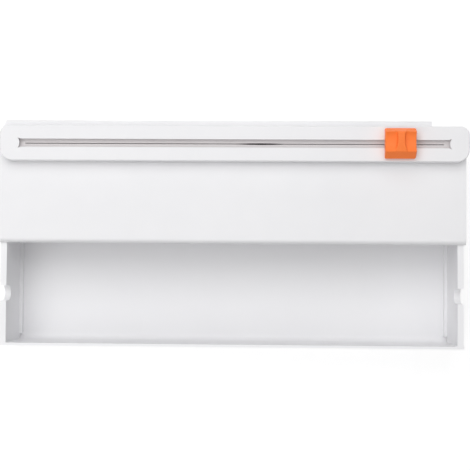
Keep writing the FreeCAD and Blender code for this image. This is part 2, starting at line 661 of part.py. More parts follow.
circle(bore, PIVOT_X, TRACK_Z, "pin_width / 2 + pin_fit")
pocket(hinge_bracket, bore)
holes = sketch_on(hinge_bracket, "bracket_holes", "XY_Plane", DECK_TOP)
for across, up in HINGE_SCREWS:
    circle(holes, across, up, "hinge_screw / 2 + thread_gap")
pocket(hinge_bracket, holes)
hole_radius = value("hinge_screw / 2 + thread_gap")
rounded(
    hinge_bracket,
    "hinge_screw / 2",
    lambda edge: level(edge, value(DECK_TOP)) and abs(edge.BoundBox.XLength / 2 - hole_radius) < 0.01,
    "Chamfer",
)
hinge_screw = sunk_screw("one_hinge_screw", "hinge_screw", "hinge_screw_length")
hinge_screws = copies(
    "hinge_screws", hinge_screw, [(across, up, DECK_TOP) for across, up in HINGE_SCREWS], upside_down=True
)
hinge_pin = new_body("hinge_pin")
section = sketch_on(hinge_pin, "pin_section", "XZ_Plane", f"-({RAIL_Y} + pin_length / 2)")
circle(section, PIVOT_X, TRACK_Z, "pin_width / 2")
pad(hinge_pin, section, "pin_length")

# Locating peg at the rail's free end
locating_peg = new_body("locating_peg")
section = sketch_on(locating_peg, "peg_section", "XY_Plane", f"{DECK_TOP} - peg_seat")
circle(section, PEG_X, RAIL_Y, "peg_width / 2")
pad(locating_peg, section, "peg_seat + peg_height")


def rail_outline(inset):
    """The rail's outline from above, drawn in by an inset."""
    left = f"({RAIL_LEFT} + {inset})"
    right = f"({RAIL_RIGHT} - {inset})"
    front = f"({RAIL_Y} - rail_width / 2 + {inset})"
    rear = f"({RAIL_Y} + rail_width / 2 - {inset})"
    near = f"(rail_front_corner - {inset})"
    far = f"(rail_rear_corner - {inset})"
    return [
        (f"{left} + {near}", front, near, 1),
        (f"{right} - {near}", front),
        (right, f"{front} + {near}", near, 1),
        (right, f"{rear} - {far}"),
        (f"{right} - {far}", rear, far, 1),
        (f"{left} + {far}", rear),
        (left, f"{rear} - {far}", far, 1),
        (left, f"{front} + {near}"),
    ]


def pivot_cuts(body, name):
    """Cut the half-round seat of the pin, the room for the knuckle and the rounded heel."""
    seat_sketch = sketch_on(body, name + "_pin_seat", "XZ_Plane", f"-({RAIL_Y} - pin_length / 2 - thread_gap)")
    circle(seat_sketch, PIVOT_X, TRACK_Z, "pin_width / 2 + thread_gap")
    pocket(body, seat_sketch, "pin_length + 2 * thread_gap")
    room = sketch_on(body, name + "_knuckle_room", "XY_Plane", RAIL_UNDER)
    rectangle(
        room,
        f"{RAIL_LEFT} - overcut",
        f"{RAIL_Y} - knuckle_length / 2 - knuckle_gap",
        f"{PIVOT_X} + knuckle_width / 2 + knuckle_gap",
        f"{RAIL_Y} + knuckle_length / 2 + knuckle_gap",
    )
    pocket(body, room, "rail_height - cover_skin - paper_gap", reverse=True)
    heel = sketch_on(body, name + "_heel", "XZ_Plane", f"-({RAIL_Y} - rail_width)")
    radius = "(track_level - paper_gap)"
    outline(heel, [
        (PIVOT_X, RAIL_UNDER),
        (f"{PIVOT_X} - {radius}", TRACK_Z, radius, -1),
        (f"{PIVOT_X} - {radius} - overcut", TRACK_Z),
        (f"{PIVOT_X} - {radius} - overcut", f"{RAIL_UNDER} - overcut"),
        (PIVOT_X, f"{RAIL_UNDER} - overcut"),
    ])
    pocket(body, heel)


RAIL_SCREWS = [
    (f"slot_left + rail_screw_end + {number} * rail_screw_pitch", f"{RAIL_Y} + {side} * rail_screw_side")
    for number, side in enumerate((-1, 1, -1))
]

# Rail cover: skirt, carriage channel and the slot with its flared ends
rail_cover = new_body("rail_cover")
shape = sketch_on(rail_cover, "cover_shape", "XY_Plane", SKIRT_UNDER)
outline(shape, rail_outline("0"))
pad(rail_cover, shape, "rail_height - skirt_gap")
rounded(rail_cover, "rail_bevel", lambda edge: level(edge, value(RAIL_TOP)), "Chamfer")
recess = sketch_on(rail_cover, "base_recess", "XY_Plane", RAIL_UNDER)
outline(recess, rail_outline("skirt_thick"))
pocket(rail_cover, recess, "track_level - paper_gap", reverse=True)
channel = sketch_on(rail_cover, "carriage_channel", "XY_Plane", TRACK_Z)
rectangle(
    channel,
    "slot_left - slot_flare",
    f"{RAIL_Y} - channel_width / 2",
    "slot_right + slot_flare",
    f"{RAIL_Y} + channel_width / 2",
)
pocket(rail_cover, channel, "rail_height - cover_skin - track_level", reverse=True)
slot = sketch_on(rail_cover, "cutter_slot", "XY_Plane", RAIL_TOP)
HALF = "(slot_width / 2)"
TALL = "(slot_width / 2 + slot_flare)"
END_RADIUS = f"(({TALL} * {TALL} + slot_bump * slot_bump) / (2 * slot_bump))"
outline(slot, [
    ("slot_left", f"{RAIL_Y} - {TALL}", END_RADIUS, -1),
    (f"slot_left + slot_flare_run", f"{RAIL_Y} - {HALF}"),
    (f"slot_right - slot_flare_run", f"{RAIL_Y} - {HALF}"),
    ("slot_right", f"{RAIL_Y} - {TALL}"),
    ("slot_right", f"{RAIL_Y} + {TALL}", END_RADIUS, -1),
    (f"slot_right - slot_flare_run", f"{RAIL_Y} + {HALF}"),
    (f"slot_left + slot_flare_run", f"{RAIL_Y} + {HALF}"),
    ("slot_left", f"{RAIL_Y} + {TALL}"),
])
pocket(rail_cover, slot)
holes = sketch_on(rail_cover, "cover_screw_holes", "XY_Plane", TRACK_Z)
for across, up in RAIL_SCREWS:
    circle(holes, across, up, "rail_screw / 2 + thread_gap")
pocket(rail_cover, holes, "rail_screw_length - track_level + paper_gap + thread_gap", reverse=True)
pivot_cuts(rail_cover, "cover")

# Rail base: track with the blade slit, closed at both ends
rail_base = new_body("rail_base")
shape = sketch_on(rail_base, "base_shape", "XY_Plane", RAIL_UNDER)
outline(shape, rail_outline("(skirt_thick + thread_gap)"))
pad(rail_base, shape, "track_level - paper_gap")
slit = sketch_on(rail_base, "blade_slit", "XY_Plane", TRACK_Z)
THIN = "(slit_width / 2)"
SWELL = "((lens_width - slit_width) / 2)"
LENS_RADIUS = f"((lens_length * lens_length / 4 + {SWELL} * {SWELL}) / (2 * {SWELL}))"
outline(slit, [
    (f"slot_left + slit_margin", f"{RAIL_Y} - {THIN}"),
    ("lens_place - lens_length / 2", f"{RAIL_Y} - {THIN}"),
    ("lens_place + lens_length / 2", f"{RAIL_Y} - {THIN}", LENS_RADIUS, 1),
    (f"slot_right - slit_margin", f"{RAIL_Y} - {THIN}"),
    (f"slot_right - slit_margin", f"{RAIL_Y} + {THIN}"),
    ("lens_place + lens_length / 2", f"{RAIL_Y} + {THIN}"),
    ("lens_place - lens_length / 2", f"{RAIL_Y} + {THIN}", LENS_RADIUS, 1),
    (f"slot_left + slit_margin", f"{RAIL_Y} + {THIN}"),
])
pocket(rail_base, slit)
holes = sketch_on(rail_base, "base_screw_holes", "XY_Plane", TRACK_Z)
for across, up in RAIL_SCREWS:
    circle(holes, across, up, "rail_screw / 2 + thread_gap")
pocket(rail_base, holes)
hole_radius = value("rail_screw / 2 + thread_gap")
rounded(
    rail_base,
    "rail_screw / 2",
    lambda edge: level(edge, value(RAIL_UNDER)) and abs(edge.BoundBox.XLength / 2 - hole_radius) < 0.01,
    "Chamfer",
)
socket = sketch_on(rail_base, "peg_socket", "XY_Plane", RAIL_UNDER)
circle(socket, PEG_X, RAIL_Y, "peg_width / 2 + peg_gap")
pocket(rail_base, socket, "peg_height - paper_gap + peg_gap", reverse=True)
pivot_cuts(rail_base, "base")
rail_screw = sunk_screw("one_rail_screw", "rail_screw", "rail_screw_length")
rail_screws = copies("rail_screws", rail_screw, [(across, up, RAIL_UNDER) for across, up in RAIL_SCREWS])



def post_outline(sketch, side, gap):
    """One of the shoe's posts, drawn out by a gap."""
    rectangle(
        sketch,
        f"carriage_place + {side} * post_place - post_length / 2 - {gap}",
        f"{RAIL_Y} - post_width / 2 - {gap}",
        f"carriage_place + {side} * post_place + post_length / 2 + {gap}",
        f"{RAIL_Y} + post_width / 2 + {gap}",
    )


# Carriage shoe: neck in the slot, wings under the cover, stepped window, posts for the plate
carriage_shoe = new_body("carriage_shoe")
wings = sketch_on(carriage_shoe, "wings", "XY_Plane", f"{TRACK_Z} + wing_play")
rectangle(
    wings,
    "carriage_place - wing_length / 2",
    f"{RAIL_Y} - channel_width / 2 + wing_play",
    "carriage_place + wing_length / 2",
    f"{RAIL_Y} + channel_width / 2 - wing_play",
)
pad(carriage_shoe, wings, "rail_height - cover_skin - track_level - 2 * wing_play")
neck = sketch_on(carriage_shoe, "neck", "XY_Plane", f"{TRACK_Z} + 2 * wing_play")
rectangle(
    neck,
    "carriage_place - shoe_length / 2",
    f"{RAIL_Y} - slot_width / 2 + shoe_gap",
    "carriage_place + shoe_length / 2",
    f"{RAIL_Y} + slot_width / 2 - shoe_gap",
)
pad(carriage_shoe, neck, "rail_height + plate_lift - track_level - 2 * wing_play")
WINDOW_DEPTH = "(holder_thick / 2 + 3 * blade_play)"
window = sketch_on(carriage_shoe, "window", "XY_Plane", PLATE_BOTTOM)
rectangle(
    window,
    "carriage_place - window_length / 2",
    f"{RAIL_Y} - {WINDOW_DEPTH}",
    "carriage_place + window_length / 2",
    f"{RAIL_Y} + {WINDOW_DEPTH}",
)
pocket(carriage_shoe, window)
foot_window = sketch_on(carriage_shoe, "window_foot", "XY_Plane", TRACK_Z)
rectangle(
    foot_window,
    "carriage_place - window_length / 2 - window_step",
    f"{RAIL_Y} - {WINDOW_DEPTH}",
    "carriage_place + window_length / 2 + window_step",
    f"{RAIL_Y} + {WINDOW_DEPTH}",
)
pocket(carriage_shoe, foot_window, "window_roof", reverse=True)
posts = sketch_on(carriage_shoe, "shoe_posts", "XY_Plane", PLATE_BOTTOM)
for side in (-1, 1):
    post_outline(posts, side, "0")
pad(carriage_shoe, posts, "plate_height")

# Carriage plate: slides on top of the rail and guides the cap
carriage_plate = new_body("carriage_plate")
shape = sketch_on(carriage_plate, "plate_shape", "XY_Plane", PLATE_BOTTOM)
rectangle(
    shape,
    "carriage_place - plate_size / 2",
    f"{RAIL_Y} - plate_depth / 2",
    "carriage_place + plate_size / 2",
    f"{RAIL_Y} + plate_depth / 2",
)
rectangle(
    shape,
    "carriage_place - window_length / 2",
    f"{RAIL_Y} - {WINDOW_DEPTH}",
    "carriage_place + window_length / 2",
    f"{RAIL_Y} + {WINDOW_DEPTH}",
)
pad(carriage_plate, shape, "plate_height")
rounded(carriage_plate, "cap_edge", lambda edge: upright(edge) and abs(
    abs(edge.BoundBox.XMin - value("carriage_place")) - value("plate_size / 2")) < 0.01)
SPRINGS = [
    (f"carriage_place + {side} * spring_side", f"{RAIL_Y} + {side} * spring_rear") for side in (-1, 1)
]
wells = sketch_on(carriage_plate, "spring_wells", "XY_Plane", PLATE_TOP)
for across, up in SPRINGS:
    circle(wells, across, up, "well_width / 2")
pocket(carriage_plate, wells, "well_depth")
holes = sketch_on(carriage_plate, "post_holes", "XY_Plane", PLATE_TOP)
for side in (-1, 1):
    post_outline(holes, side, "thread_gap")
pocket(carriage_plate, holes)

# Cap: sloped faces and a ridge, with a finger scoop cut on each side of the ridge
cap_blank = new_body("cap_blank")
CAP_FRONT = f"({RAIL_Y} - cap_depth / 2)"
CAP_REAR = f"({RAIL_Y} + cap_depth / 2)"
RIM_FRONT = f"({CAP_FRONT} + cap_front_slope)"
RIM_REAR = f"({CAP_REAR} - cap_rear_slope)"
RIM_Z = f"({CAP_BOTTOM} + cap_height)"
section = sketch_on(cap_blank, "cap_section", "YZ_Plane", "carriage_place - cap_length / 2")
outline(section, [
    (CAP_FRONT, CAP_BOTTOM),
    (CAP_REAR, CAP_BOTTOM),
    (CAP_REAR, f"{CAP_BOTTOM} + cap_rear_foot"),
    (RIM_REAR, f"{RIM_Z} + cap_ridge"),
    (RIM_FRONT, RIM_Z, "cap_length * 2", 1),
    (CAP_FRONT, f"{CAP_BOTTOM} + cap_front_foot"),
])
pad(cap_blank, section, "cap_length")
rounded(cap_blank, "cap_edge", upright)
cavity = sketch_on(cap_blank, "cap_cavity", "XY_Plane", CAP_BOTTOM)
rectangle(
    cavity,
    "carriage_place - plate_size / 2 - cavity_gap",
    f"{RAIL_Y} - plate_depth / 2 - cavity_gap",
    "carriage_place + plate_size / 2 + cavity_gap",
    f"{RAIL_Y} + plate_depth / 2 + cavity_gap",
)
pocket(cap_blank, cavity, "cavity_roof", reverse=True)


def lug_outline(sketch, side, gap):
    """One of the blade holder's lugs, drawn out by a gap."""
    rectangle(
        sketch,
        f"carriage_place - lug_side / 2 - {gap}",
        f"{RAIL_Y} + {side} * lug_place - lug_side / 2 - {gap}",
        f"carriage_place + lug_side / 2 + {gap}",
        f"{RAIL_Y} + {side} * lug_place + lug_side / 2 + {gap}",
    )


holes = sketch_on(cap_blank, "lug_sockets", "XY_Plane", CAVITY_TOP)
for side in (-1, 1):
    lug_outline(holes, side, "thread_gap")
pocket(cap_blank, holes, "lug_height + thread_gap", reverse=True)

scoop_sides = new_body("scoop_sides")
section = sketch_on(scoop_sides, "scoop_section", "YZ_Plane", "carriage_place - cap_length")
SCOOP_SPAN = "(cap_depth - cap_front_slope - cap_rear_slope)"
SCOOP_RADIUS = f"(({SCOOP_SPAN} * {SCOOP_SPAN} / 4 + saddle_depth * saddle_depth) / (2 * saddle_depth))"
REAR_FALL = "((cap_height - cap_rear_foot) / cap_rear_slope)"
outline(section, [
    (f"{CAP_REAR} + overcut", f"{CAP_BOTTOM} + cap_rear_foot - {REAR_FALL} * overcut"),
    (f"{CAP_REAR} + overcut", f"{RIM_Z} + 3 * cap_ridge"),
    (RIM_FRONT, f"{RIM_Z} + 3 * cap_ridge"),
    (RIM_FRONT, RIM_Z),
    (RIM_REAR, RIM_Z, SCOOP_RADIUS, 1),
])
pad(scoop_sides, section, "2 * cap_length")
WAIST_DIP = "((ridge_end - ridge_waist) / 2)"
WAIST_SPAN = "(cap_depth - cap_front_slope)"
WAIST_RADIUS = f"(({WAIST_SPAN} * {WAIST_SPAN} / 4 + {WAIST_DIP} * {WAIST_DIP}) / (2 * {WAIST_DIP}))"


def scoop(name, side):
    """The space beside the ridge, seen from above, with the ridge's leaning flank."""
    body = new_body(name)
    shape = sketch_on(body, name + "_plan", "XY_Plane", f"{RIM_Z} + 3 * cap_ridge")
    edge = f"(carriage_place + {side} * ridge_end / 2)"
    away = f"(carriage_place + {side} * cap_length)"
    points = [
        (away, f"{RIM_FRONT} - overcut"),
        (edge, f"{RIM_FRONT} - overcut"),
        (edge, RIM_FRONT),
        (edge, CAP_REAR, WAIST_RADIUS, 1 if side < 0 else -1),
        (edge, f"{CAP_REAR} + overcut"),
        (away, f"{CAP_REAR} + overcut"),
    ]
    outline(shape, points)
    block = pad(body, shape, "cap_height + 3 * cap_ridge", reverse=True)
    block.setExpression("TaperAngle", linked("-ridge_draft"))
    doc.recompute()
    return body


def boolean(kind, label, base, tool):
    part = doc.addObject("Part::" + kind, label)
    part.Label = label
    part.Base = base
    part.Tool = tool
    doc.recompute()
    return part


cap_left = boolean("Common", "cap_scoop_left", scoop_sides, scoop("scoop_left", -1))
cap_right = boolean("Common", "cap_scoop_right", scoop_sides, scoop("scoop_right", 1))
half_cut = boolean("Cut", "cap_half_cut", cap_blank, cap_left)
cutter_cap = boolean("Cut", "cutter_cap", half_cut, cap_right)

# Blade holder: slotted stem with stop barbs, and the flange with its lugs in the cap
blade_holder = new_body("blade_holder")
stem = sketch_on(blade_holder, "stem", "XY_Plane", HOLDER_BOTTOM)
rectangle(
    stem,
    "carriage_place - holder_length / 2",
    f"{RAIL_Y} - holder_thick / 2",
    "carriage_place + holder_length / 2",
    f"{RAIL_Y} + holder_thick / 2",
)
pad(blade_holder, stem, f"{CAVITY_TOP} - {HOLDER_BOTTOM}")
barbs = sketch_on(blade_holder, "barbs", "XY_Plane", HOLDER_BOTTOM)
rectangle(
    barbs,
    "carriage_place - holder_length / 2 - barb_length",
    f"{RAIL_Y} - holder_thick / 2",
    "carriage_place + holder_length / 2 + barb_length",
    f"{RAIL_Y} + holder_thick / 2",
)
pad(blade_holder, barbs, "barb_height")
flange = sketch_on(blade_holder, "flange", "XY_Plane", f"{CAVITY_TOP} - holder_flange")
rectangle(
    flange,
    "carriage_place - flange_width / 2",
    f"{RAIL_Y} - flange_length / 2",
    "carriage_place + flange_width / 2",
    f"{RAIL_Y} + flange_length / 2",
)
pad(blade_holder, flange, "holder_flange")
slot = sketch_on(blade_holder, "blade_seat", "XY_Plane", HOLDER_BOTTOM)
rectangle(
    slot,
    "carriage_place - blade_width / 2 - blade_play",
    f"{RAIL_Y} - blade_thick / 2 - blade_play",
    "carriage_place + blade_width / 2 + blade_play",
    f"{RAIL_Y} + blade_thick / 2 + blade_play",
)
pocket(blade_holder, slot, f"{TIP_Z} + blade_length + blade_play - {HOLDER_BOTTOM}", reverse=True)
RIVET_Z = f"({TIP_Z} + rivet_place)"
hole = sketch_on(blade_holder, "holder_rivet_hole", "XZ_Plane", f"-({RAIL_Y} - holder_thick)")
circle(hole, "carriage_place", RIVET_Z, "rivet_width / 2 + thread_gap")
pocket(blade_holder, hole)
lugs = sketch_on(blade_holder, "lugs", "XY_Plane", CAVITY_TOP)
for side in (-1, 1):
    lug_outline(lugs, side, "0")
pad(blade_holder, lugs, "lug_height")

# Blade, ground on both sides of its two slanted edges, and its rivet
blade = new_body("blade")
shape = sketch_on(blade, "blade_shape", "XZ_Plane", f"-({RAIL_Y} + blade_thick / 2)")
outline(shape, [
    ("carriage_place - blade_tip / 2", TIP_Z),
    ("carriage_place + blade_tip / 2", TIP_Z),
    ("carriage_place + blade_width / 2", f"{TIP_Z} + blade_shoulder"),
    ("carriage_place + blade_width / 2", f"{TIP_Z} + blade_length"),
    ("carriage_place - blade_width / 2", f"{TIP_Z} + blade_length"),
    ("carriage_place - blade_width / 2", f"{TIP_Z} + blade_shoulder"),
])
circle(shape, "carriage_place", RIVET_Z, "rivet_width / 2 + thread_gap")
pad(blade, shape, "blade_thick")
rounded(
    blade,
    "blade_grind",
    lambda edge: edge.BoundBox.YLength < 0.01
    and edge.BoundBox.ZMin < value(TIP_Z) + 0.01
    and edge.BoundBox.ZLength > 1,
    "Chamfer",
)
blade_rivet = new_body("blade_rivet")
shape = sketch_on(blade_rivet, "rivet_shape", "XZ_Plane", f"-({RAIL_Y} + holder_thick / 2)")
circle(shape, "carriage_place", RIVET_Z, "rivet_width / 2")
pad(blade_rivet, shape, "holder_thick")

# Press springs: one unbroken wire each, wound by a formula
SPRING_LOW = f"({PLATE_TOP} - well_depth + spring_gap + spring_wire / 2)"
SPRING_HIGH = f"({CAVITY_TOP} - spring_gap - spring_wire / 2)"
PIECES_PER_TURN = 4
WIRE_SIDES = 6


def winding(radius, low, high, turns, angle):
    """Point and direction of the wire's middle after an angle in radians."""
    climb = (high - low) / (2 * math.pi * turns)
    spot = FreeCAD.Vector(radius * math.cos(angle), radius * math.sin(angle), low + climb * angle)
    course = FreeCAD.Vector(-radius * math.sin(angle), radius * math.cos(angle), climb).normalize()
    return spot, course


def arc_about(start, corner, end):
    """The arc that touches both lines of a corner, given its two ends."""
    middle = (start + end) * 0.5
    reach = (start - corner).Length
    depth = (middle - corner).Length
    lean = math.acos(depth / reach)
    top = corner + (middle - corner).normalize() * (reach / math.cos(lean) - reach * math.tan(lean))
    return Part.Arc(start, top, end).toShape()


def biarc(start, course, end, arrival):
    """Two arcs from one point and direction to another."""
    span = end - start
    turn = 2 * (1 - course.dot(arrival))
    push = span.dot(course + arrival)
    reach = (-push + math.sqrt(push ** 2 + turn * span.dot(span))) / turn
    first = start + course * reach
    second = end - arrival * reach
    middle = (first + second) * 0.5
    return [arc_about(start, first, middle), arc_about(middle, second, end)]


def wire_section(centre, course, radius):
    """The closed outline of the wire, square to its course."""
    across = course.cross(FreeCAD.Vector(0, 0, 1)).normalize()
    up = course.cross(across)
    corners = []
    for number in range(WIRE_SIDES):
        angle = 2 * math.pi * number / WIRE_SIDES
        corners.append(centre + (across * math.cos(angle) + up * math.sin(angle)) * radius)
    return Part.makePolygon(corners + corners[:1])


def coil(label, radius, wire, low, high, turns, places):
    """Coil springs, each one wire along a winding that climbs steadily."""
    steps = int(turns * PIECES_PER_TURN)
    knots = [winding(radius, low, high, turns, 2 * math.pi * turns * step / steps) for step in range(steps + 1)]
    arcs = []
    for (start, course), (end, arrival) in zip(knots, knots[1:]):
        arcs += biarc(start, course, end, arrival)
    path = Part.Wire(arcs)
    ring = wire_section(knots[0][0], knots[0][1], wire / 2)
    solid = Part.BRepOffsetAPI.MakePipeShell(path)
    solid.add(ring)
    solid.build()
    solid.makeSolid()
    spring = solid.shape()
    length = sum(arc.Length for arc in arcs)
    gap = (high - low) / turns * math.cos(math.atan((high - low) / (2 * math.pi * radius * turns))) - wire
    section = Part.Face(ring).Area
    print(label, "wire volume", round(spring.Volume / (section * length), 3), "of section by length")
    print(label, "least gap between turns", round(gap, 2), "mm")
    part = doc.addObject("Part::Feature", label)
    part.Label = label
    part.Shape = Part.makeCompound([spring.translated(spot) for spot in places])
    return part


press_springs = coil(
    "press_springs",
    value("(spring_width - spring_wire) / 2"),
    value("spring_wire"),
    value(SPRING_LOW),
    value(SPRING_HIGH),
    value("spring_curls"),
    [FreeCAD.Vector(value(across), value(up), 0) for across, up in SPRINGS],
)

doc.recompute()
os.makedirs("parts", exist_ok=True)
NODES = [
    body_tray, left_end_plate, right_end_plate, rubber_feet, end_plate_screws, deck_screws,
    deck_cover, cutting_strip, hinge_bracket, hinge_screws, hinge_pin, locating_peg,
    rail_cover, rail_base, rail_screws, carriage_shoe, carriage_plate,
    press_springs, cutter_cap, blade_holder, blade, blade_rivet,
]
for item in doc.Objects:
    if "Invalid" in item.State or "Error" in item.State:
        raise RuntimeError(item.Name + " failed")
for node in NODES:
    if node.Shape.isNull() or not node.Shape.isValid():
        raise RuntimeError(node.Label + " has no valid shape")
for node in NODES:
    node.Shape.exportStep("parts/%s.step" % node.Label)
    print(node.Label, len(node.Shape.Solids), round(node.Shape.Volume, 1))
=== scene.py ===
import json
import logging
import math
from dataclasses import dataclass
from enum import Enum
from typing import Optional, Union

import bmesh
import bpy
from mathutils import Euler, Matrix, Vector


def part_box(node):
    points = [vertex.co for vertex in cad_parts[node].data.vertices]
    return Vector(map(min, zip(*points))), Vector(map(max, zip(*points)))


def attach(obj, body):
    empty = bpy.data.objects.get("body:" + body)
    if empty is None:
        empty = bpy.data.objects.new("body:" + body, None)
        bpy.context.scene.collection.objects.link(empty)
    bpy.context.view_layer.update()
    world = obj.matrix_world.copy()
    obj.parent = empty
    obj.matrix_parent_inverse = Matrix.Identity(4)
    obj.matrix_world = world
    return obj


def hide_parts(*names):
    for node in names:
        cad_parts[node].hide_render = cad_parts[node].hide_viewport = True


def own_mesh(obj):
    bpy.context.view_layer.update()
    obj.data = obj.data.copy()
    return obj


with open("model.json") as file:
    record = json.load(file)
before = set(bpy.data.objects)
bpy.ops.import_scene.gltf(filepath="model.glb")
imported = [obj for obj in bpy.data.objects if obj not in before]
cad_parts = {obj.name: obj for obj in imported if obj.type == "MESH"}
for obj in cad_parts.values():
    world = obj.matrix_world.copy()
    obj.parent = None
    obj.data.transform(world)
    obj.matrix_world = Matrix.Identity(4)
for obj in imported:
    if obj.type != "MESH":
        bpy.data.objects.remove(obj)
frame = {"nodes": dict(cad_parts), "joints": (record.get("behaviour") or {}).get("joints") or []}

LOG = logging.getLogger("wrap_cutter")
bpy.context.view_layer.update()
MM = 0.001
SAME_POINT = 0.002 * MM
FLAT = math.radians(0.4)
CREASE = math.radians(38)

Number = Union[int, float]
Colour = tuple[float, float, float, float]
Triple = tuple[float, float, float]


class Signal:
    """A shader socket with the arithmetic that the finishes use."""

    def __init__(self, graph: "Graph", socket: bpy.types.NodeSocket) -> None:
        """Wrap a socket.

        Args:
            graph: The graph that the socket belongs to.
            socket: The output socket of a node.
        """
        self.graph = graph
        self.socket = socket

    def _math(self, operation: str, first: "Signal | Number", second: "Signal | Number") -> "Signal":
        """Add a Math node.

        Args:
            operation: The node's operation.
            first: Its first value.
            second: Its second value.

        Returns:
            The node's result.
        """
        node = self.graph.node("ShaderNodeMath", {"operation": operation}, {0: first, 1: second})
        return Signal(self.graph, node.outputs[0])

    def __add__(self, other: "Signal | Number") -> "Signal":
        """Add a value."""
        return self._math("ADD", self, other)

    def __radd__(self, other: Number) -> "Signal":
        """Add to a value."""
        return self._math("ADD", other, self)

    def __mul__(self, other: "Signal | Number") -> "Signal":
        """Multiply by a value."""
        return self._math("MULTIPLY", self, other)

    def __rmul__(self, other: Number) -> "Signal":
        """Multiply a value."""
        return self._math("MULTIPLY", other, self)


class Graph:
    """The node tree of one material."""

    def __init__(self, name: str) -> None:
        """Start a material with its shader.

        Args:
            name: The material's name.
        """
        self.material = bpy.data.materials.new(name)
        self.material.use_nodes = True
        self.tree = self.material.node_tree
        self.tree.nodes.clear()
        self.shader = self.node("ShaderNodeBsdfPrincipled")
        output = self.node("ShaderNodeOutputMaterial")
        self.tree.links.new(self.shader.outputs[0], output.inputs["Surface"])
        self.place = Signal(self, self.node("ShaderNodeTexCoord").outputs["Object"])

    def node(
        self,
        kind: str,
        settings: Optional[dict[str, object]] = None,
        values: Optional[dict[Union[int, str], object]] = None,
    ) -> bpy.types.Node:
        """Add a node.

        Args:
            kind: The node's type.
            settings: Properties that are set before its sockets, with a ramp's stops under "stops".
            values: Values or signals for its input sockets, by name or number.

        Returns:
            The new node.
        """
        made = self.tree.nodes.new(kind)
        for key, setting in (settings or {}).items():
            if key == "stops":
                self._stops(made.color_ramp, setting)
            else:
                setattr(made, key, setting)
        for key, given in (values or {}).items():
            self._fill(made.inputs[key], given)
        return made

    def _fill(self, socket: bpy.types.NodeSocket, given: object) -> None:
        """Link a signal to an input socket, or set the socket's value.

        Args:
            socket: The input socket.
            given: The signal or value.
        """
        if isinstance(given, Signal):
            self.tree.links.new(given.socket, socket)
        else:
            socket.default_value = given

    @staticmethod
    def _stops(ramp: bpy.types.ColorRamp, stops: list[tuple[float, Colour]]) -> None:
        """Set the two stops of a ramp.

        Args:
            ramp: The ramp.
            stops: Pairs of place and colour.
        """
        for element, (position, colour) in zip(ramp.elements, stops):
            element.position = position
            element.color = colour

    def noise(self, scale: float, detail: float, stretch: Triple = (1, 1, 1)) -> Signal:
        """Noise on object coordinates.

        Args:
            scale: Waves per metre.
            detail: Octaves.
            stretch: Scale along each axis.

        Returns:
            The noise, about 0.5 on average.
        """
        spread = self.node("ShaderNodeMapping", None, {"Vector": self.place, "Scale": stretch})
        values = {"Vector": Signal(self, spread.outputs[0]), "Scale": scale, "Detail": detail}
        return Signal(self, self.node("ShaderNodeTexNoise", None, values).outputs[0])

    def ramp(self, signal: Signal, stops: list[tuple[float, Colour]]) -> Signal:
        """Turn a value into a colour or another value.

        Args:
            signal: The value.
            stops: Two pairs of place and colour.

        Returns:
            The ramp's colour.
        """
        return Signal(self, self.node("ShaderNodeValToRGB", {"stops": stops}, {0: signal}).outputs[0])

    def bump(
        self, height: Signal, distance: float, strength: float, under: Optional[Signal] = None
    ) -> Signal:
        """Bump a surface.

        Args:
            height: The height.
            distance: The height of a full wave in metres.
            strength: Share of that height.
            under: A coarser bump that this one lies on.

        Returns:
            The normal.
        """
        values: dict[Union[int, str], object] = {
            "Height": height,
            "Distance": distance,
            "Strength": strength,
        }
        if under is not None:
            values["Normal"] = under
        return Signal(self, self.node("ShaderNodeBump", None, values).outputs[0])

    def feed(self, **sockets: "Signal | Number | Colour") -> None:
        """Set the shader's sockets.

        Args:
            sockets: Values or signals, by the socket's name with underscores for spaces.
        """
        for key, given in sockets.items():
            self._fill(self.shader.inputs[key.replace("_", " ")], given)


def grey(level: float) -> Colour:
    """A grey as a colour."""
    return (level, level, level, 1.0)


@dataclass(frozen=True)
class MouldedPlastic:
    """Injection-moulded plastic: cloudy colour, fine grain, slow waves and rubbed patches, and a glow in its
    own colour that is painted light.

    Scales are waves per metre, and heights are metres.
    """

    name: str
    colour: Colour
    shade: Colour
    roughness: float = 0.36
    rubbed: float = 0.12
    gloss: float = 0.5
    # painted_glow: an emission in the plastic's own colour, painted light that lifts its shaded faces; off
    # by default
    painted_glow: float = 0.0
    cloud_scale: float = 14.0
    patch_scale: float = 55.0
    patch_share: float = 0.3
    tone_stops: tuple[float, float] = (0.32, 0.62)
    scratch: float = 0.0
    scratch_scale: float = 160.0
    scratch_stretch: Triple = (0.12, 1.0, 1.0)
    rub_stops: tuple[float, float] = (0.35, 0.7)
    wave: float = 0.05
    wave_scale: float = 9.0
    wave_height: float = 4 * MM
    grain: float = 0.06
    grain_scale: float = 5200.0
    grain_height: float = 0.04 * MM

    def material(self) -> bpy.types.Material:
        """Build the material.

        Returns:
            The material.
        """
        graph = Graph(self.name)
        cloud = graph.noise(self.cloud_scale, detail=3)
        patches = graph.noise(self.patch_scale, detail=4)
        streaks = graph.noise(self.scratch_scale, detail=3, stretch=self.scratch_stretch)
        grain = graph.noise(self.grain_scale, detail=2)
        wave = graph.noise(self.wave_scale, detail=1)
        dark, light = self.tone_stops
        cloudy = cloud * (1 - self.patch_share) + patches * self.patch_share
        worn = patches * (1 - self.scratch) + streaks * self.scratch
        fresh, rubbed = self.rub_stops
        rub = graph.ramp(worn, [(fresh, grey(0)), (rubbed, grey(1))])
        lean = graph.bump(wave, self.wave_height, self.wave)
        graph.feed(
            Base_Color=graph.ramp(cloudy, [(dark, self.shade), (light, self.colour)]),
            Roughness=rub * self.rubbed + self.roughness,
            Specular_IOR_Level=self.gloss,
            # Emission in the plastic's own colour is painted light, a glow that lifts the shaded faces
            Emission_Color=self.colour,
            Emission_Strength=self.painted_glow,
            Normal=graph.bump(grain, self.grain_height, self.grain, lean),
        )
        return graph.material


